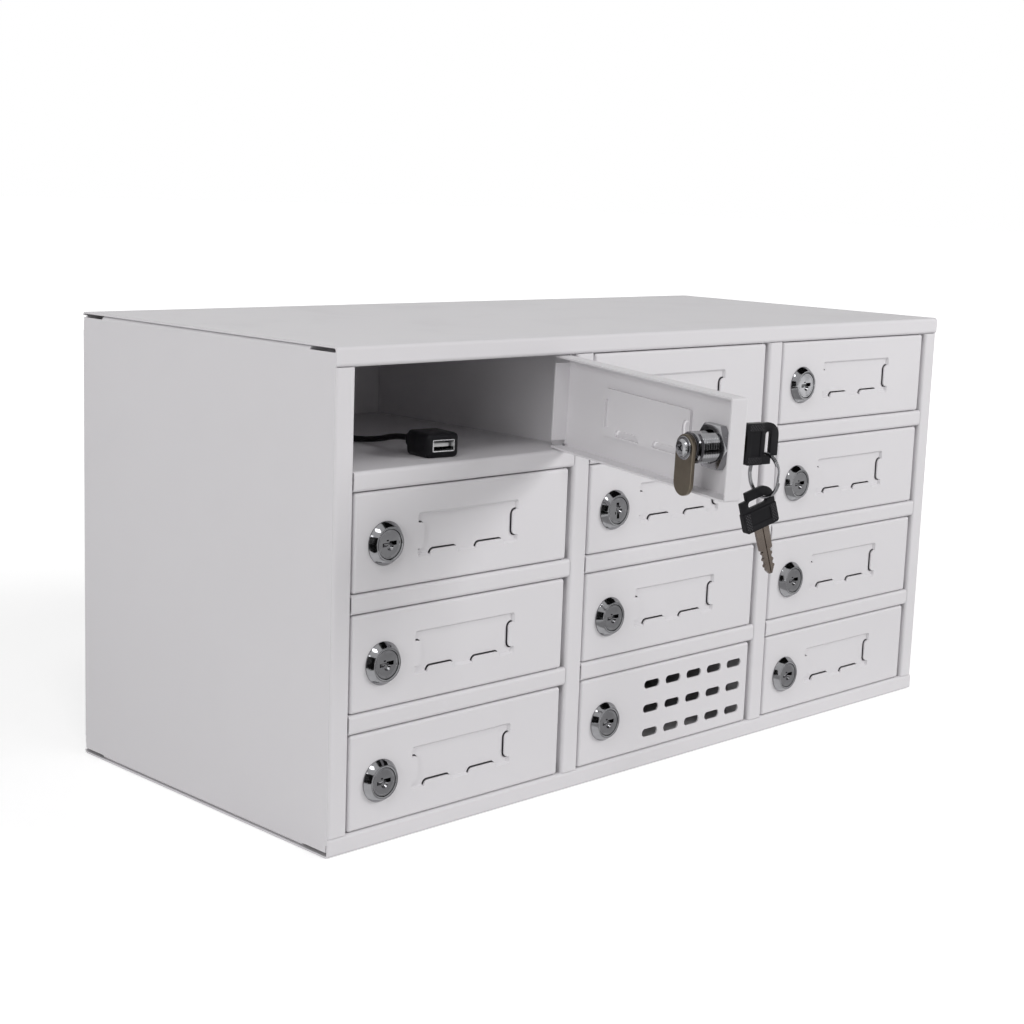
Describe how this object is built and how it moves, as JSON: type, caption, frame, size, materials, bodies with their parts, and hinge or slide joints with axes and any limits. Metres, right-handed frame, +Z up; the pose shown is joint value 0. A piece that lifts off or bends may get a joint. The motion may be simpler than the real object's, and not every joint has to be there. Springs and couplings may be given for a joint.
{
  "type": "cell phone locker box",
  "caption": "Sheet-steel locker box with a grid of small hinged doors, each with its own cam lock and label holder; one door stands open with keys and a charging lead.",
  "frame": {"origin": "centre of the underside, where the cabinet stands", "axes": "+X along the width to the right seen from the front, +Y from the front to the back, +Z up"},
  "size_m": [0.505, 0.3619, 0.25],
  "materials": {
    "powder_coat": "fine satin powder coat, light grey white",
    "chrome": "polished chrome plate",
    "lock_steel": "plated steel, slightly brown",
    "key_steel": "nickel plated, milled",
    "zinc_steel": "bright zinc plate",
    "black_plastic": "moulded black, slight sheen",
    "black_rubber": "soft black"
  },
  "bodies": {
    "cabinet": {"left_side": "powder_coat", "right_side": "powder_coat", "top_panel": "powder_coat", "bottom_panel": "powder_coat", "divider_1": "powder_coat", "divider_2": "powder_coat", "shelves_row_1": "powder_coat", "shelves_row_2": "powder_coat", "shelves_row_3": "powder_coat", "rear_panel": "powder_coat", "cable_grommets": "black_rubber", "rear_cover": "powder_coat", "rear_screws": "zinc_steel", "hinge_pins": "zinc_steel", "charging_hub": "black_plastic", "mains_inlet": "black_plastic", "usb_cord": "black_rubber", "usb_socket": "black_plastic", "usb_shell": "zinc_steel"},
    "door_body_r1c1": {"door_r1c1": "powder_coat", "lock_r1c1": "chrome"},
    "cam_body_r1c1": {"cam_r1c1": "lock_steel"},
    "door_body_r1c2": {"door_r1c2": "powder_coat", "lock_r1c2": "chrome"},
    "cam_body_r1c2": {"cam_r1c2": "lock_steel"},
    "door_body_r1c3": {"door_r1c3": "powder_coat", "lock_r1c3": "chrome"},
    "cam_body_r1c3": {"cam_r1c3": "lock_steel"},
    "door_body_r2c1": {"door_r2c1": "powder_coat", "lock_r2c1": "chrome"},
    "cam_body_r2c1": {"cam_r2c1": "lock_steel"},
    "door_body_r2c2": {"door_r2c2": "powder_coat", "lock_r2c2": "chrome"},
    "cam_body_r2c2": {"cam_r2c2": "lock_steel"},
    "door_body_r2c3": {"door_r2c3": "powder_coat", "lock_r2c3": "chrome"},
    "cam_body_r2c3": {"cam_r2c3": "lock_steel"},
    "door_body_r3c1": {"door_r3c1": "powder_coat", "lock_r3c1": "chrome"},
    "cam_body_r3c1": {"cam_r3c1": "lock_steel"},
    "door_body_r3c2": {"door_r3c2": "powder_coat", "lock_r3c2": "chrome"},
    "cam_body_r3c2": {"cam_r3c2": "lock_steel"},
    "door_body_r3c3": {"door_r3c3": "powder_coat", "lock_r3c3": "chrome"},
    "cam_body_r3c3": {"cam_r3c3": "lock_steel"},
    "door_body_r4c1": {"door_r4c1": "powder_coat", "lock_r4c1": "chrome"},
    "cam_body_r4c1": {"cam_r4c1": "lock_steel"},
    "door_body_r4c2": {"door_r4c2": "powder_coat", "lock_r4c2": "chrome"},
    "cam_body_r4c2": {"cam_r4c2": "lock_steel"},
    "door_body_r4c3": {"door_r4c3": "powder_coat", "lock_r4c3": "chrome"},
    "cam_body_r4c3": {"cam_r4c3": "lock_steel"},
    "key_1": {"key_1_blade": "key_steel", "key_1_head": "black_plastic"},
    "key_ring": {"split_ring": "zinc_steel"},
    "key_2": {"key_2_blade": "key_steel", "key_2_head": "black_plastic"}
  },
  "joints": [
    {"name": "door_hinge_r1c1", "type": "hinge", "parent": "cabinet", "child": "door_body_r1c1", "pos_m": [-0.0937, -0.10745, 0.215], "axis": [0.0182, -0.0226, 0.9996], "range_deg": [-77.5, 42.5]},
    {"name": "cam_turn_r1c1", "type": "hinge", "parent": "door_body_r1c1", "child": "cam_body_r1c1", "pos_m": [-0.13678, -0.22691, 0.20892], "axis": [-0.9762, 0.2168, 0], "range_deg": [0, 90]},
    {"name": "door_hinge_r1c2", "type": "hinge", "parent": "cabinet", "child": "door_body_r1c2", "pos_m": [0.0708, -0.10745, 0.215], "axis": [0, 0, 1], "range_deg": [0, 120]},
    {"name": "cam_turn_r1c2", "type": "hinge", "parent": "door_body_r1c2", "child": "cam_body_r1c2", "pos_m": [-0.0553, -0.0913, 0.2135], "axis": [0, 1, 0], "range_deg": [0, 90]},
    {"name": "door_hinge_r1c3", "type": "hinge", "parent": "cabinet", "child": "door_body_r1c3", "pos_m": [0.2353, -0.10745, 0.215], "axis": [0, 0, 1], "range_deg": [0, 120]},
    {"name": "cam_turn_r1c3", "type": "hinge", "parent": "door_body_r1c3", "child": "cam_body_r1c3", "pos_m": [0.1092, -0.0913, 0.2135], "axis": [0, 1, 0], "range_deg": [0, 90]},
    {"name": "door_hinge_r2c1", "type": "hinge", "parent": "cabinet", "child": "door_body_r2c1", "pos_m": [-0.0937, -0.10745, 0.155], "axis": [0, 0, 1], "range_deg": [0, 80]},
    {"name": "cam_turn_r2c1", "type": "hinge", "parent": "door_body_r2c1", "child": "cam_body_r2c1", "pos_m": [-0.2198, -0.0913, 0.1535], "axis": [0, 1, 0], "range_deg": [0, 90]},
    {"name": "door_hinge_r2c2", "type": "hinge", "parent": "cabinet", "child": "door_body_r2c2", "pos_m": [0.0708, -0.10745, 0.155], "axis": [0, 0, 1], "range_deg": [0, 120]},
    {"name": "cam_turn_r2c2", "type": "hinge", "parent": "door_body_r2c2", "child": "cam_body_r2c2", "pos_m": [-0.0553, -0.0913, 0.1535], "axis": [0, 1, 0], "range_deg": [0, 90]},
    {"name": "door_hinge_r2c3", "type": "hinge", "parent": "cabinet", "child": "door_body_r2c3", "pos_m": [0.2353, -0.10745, 0.155], "axis": [0, 0, 1], "range_deg": [0, 120]},
    {"name": "cam_turn_r2c3", "type": "hinge", "parent": "door_body_r2c3", "child": "cam_body_r2c3", "pos_m": [0.1092, -0.0913, 0.1535], "axis": [0, 1, 0], "range_deg": [0, 90]},
    {"name": "door_hinge_r3c1", "type": "hinge", "parent": "cabinet", "child": "door_body_r3c1", "pos_m": [-0.0937, -0.10745, 0.095], "axis": [0, 0, 1], "range_deg": [0, 120]},
    {"name": "cam_turn_r3c1", "type": "hinge", "parent": "door_body_r3c1", "child": "cam_body_r3c1", "pos_m": [-0.2198, -0.0913, 0.0935], "axis": [0, 1, 0], "range_deg": [0, 90]},
    {"name": "door_hinge_r3c2", "type": "hinge", "parent": "cabinet", "child": "door_body_r3c2", "pos_m": [0.0708, -0.10745, 0.095], "axis": [0, 0, 1], "range_deg": [0, 120]},
    {"name": "cam_turn_r3c2", "type": "hinge", "parent": "door_body_r3c2", "child": "cam_body_r3c2", "pos_m": [-0.0553, -0.0913, 0.0935], "axis": [0, 1, 0], "range_deg": [0, 90]},
    {"name": "door_hinge_r3c3", "type": "hinge", "parent": "cabinet", "child": "door_body_r3c3", "pos_m": [0.2353, -0.10745, 0.095], "axis": [0, 0, 1], "range_deg": [0, 120]},
    {"name": "cam_turn_r3c3", "type": "hinge", "parent": "door_body_r3c3", "child": "cam_body_r3c3", "pos_m": [0.1092, -0.0913, 0.0935], "axis": [0, 1, 0], "range_deg": [0, 90]},
    {"name": "door_hinge_r4c1", "type": "hinge", "parent": "cabinet", "child": "door_body_r4c1", "pos_m": [-0.0937, -0.10745, 0.035], "axis": [0, 0, 1], "range_deg": [0, 120]},
    {"name": "cam_turn_r4c1", "type": "hinge", "parent": "door_body_r4c1", "child": "cam_body_r4c1", "pos_m": [-0.2198, -0.0913, 0.0335], "axis": [0, 1, 0], "range_deg": [0, 90]},
    {"name": "door_hinge_r4c2", "type": "hinge", "parent": "cabinet", "child": "door_body_r4c2", "pos_m": [0.0708, -0.10745, 0.035], "axis": [0, 0, 1], "range_deg": [0, 120]},
    {"name": "cam_turn_r4c2", "type": "hinge", "parent": "door_body_r4c2", "child": "cam_body_r4c2", "pos_m": [-0.0553, -0.0913, 0.0335], "axis": [0, 1, 0], "range_deg": [0, 90]},
    {"name": "door_hinge_r4c3", "type": "hinge", "parent": "cabinet", "child": "door_body_r4c3", "pos_m": [0.2353, -0.10745, 0.035], "axis": [0, 0, 1], "range_deg": [0, 120]},
    {"name": "cam_turn_r4c3", "type": "hinge", "parent": "door_body_r4c3", "child": "cam_body_r4c3", "pos_m": [0.1092, -0.0913, 0.0335], "axis": [0, 1, 0], "range_deg": [0, 90]},
    {"name": "key_1_slide", "type": "slide", "parent": "cam_body_r1c1", "child": "key_1", "axis": [0.9762, -0.2168, 0], "range_m": [0, 0.012]},
    {"name": "ring_swing", "type": "hinge", "parent": "key_1", "child": "key_ring", "pos_m": [-0.09037, -0.23704, 0.20408], "axis": [-0.2167, -0.9756, -0.0363], "range_deg": [-25, 25]},
    {"name": "key_2_swing", "type": "hinge", "parent": "key_ring", "child": "key_2", "pos_m": [-0.09037, -0.23704, 0.18258], "axis": [0.2168, 0.9762, 0], "range_deg": [-25, 35]}
  ]
}
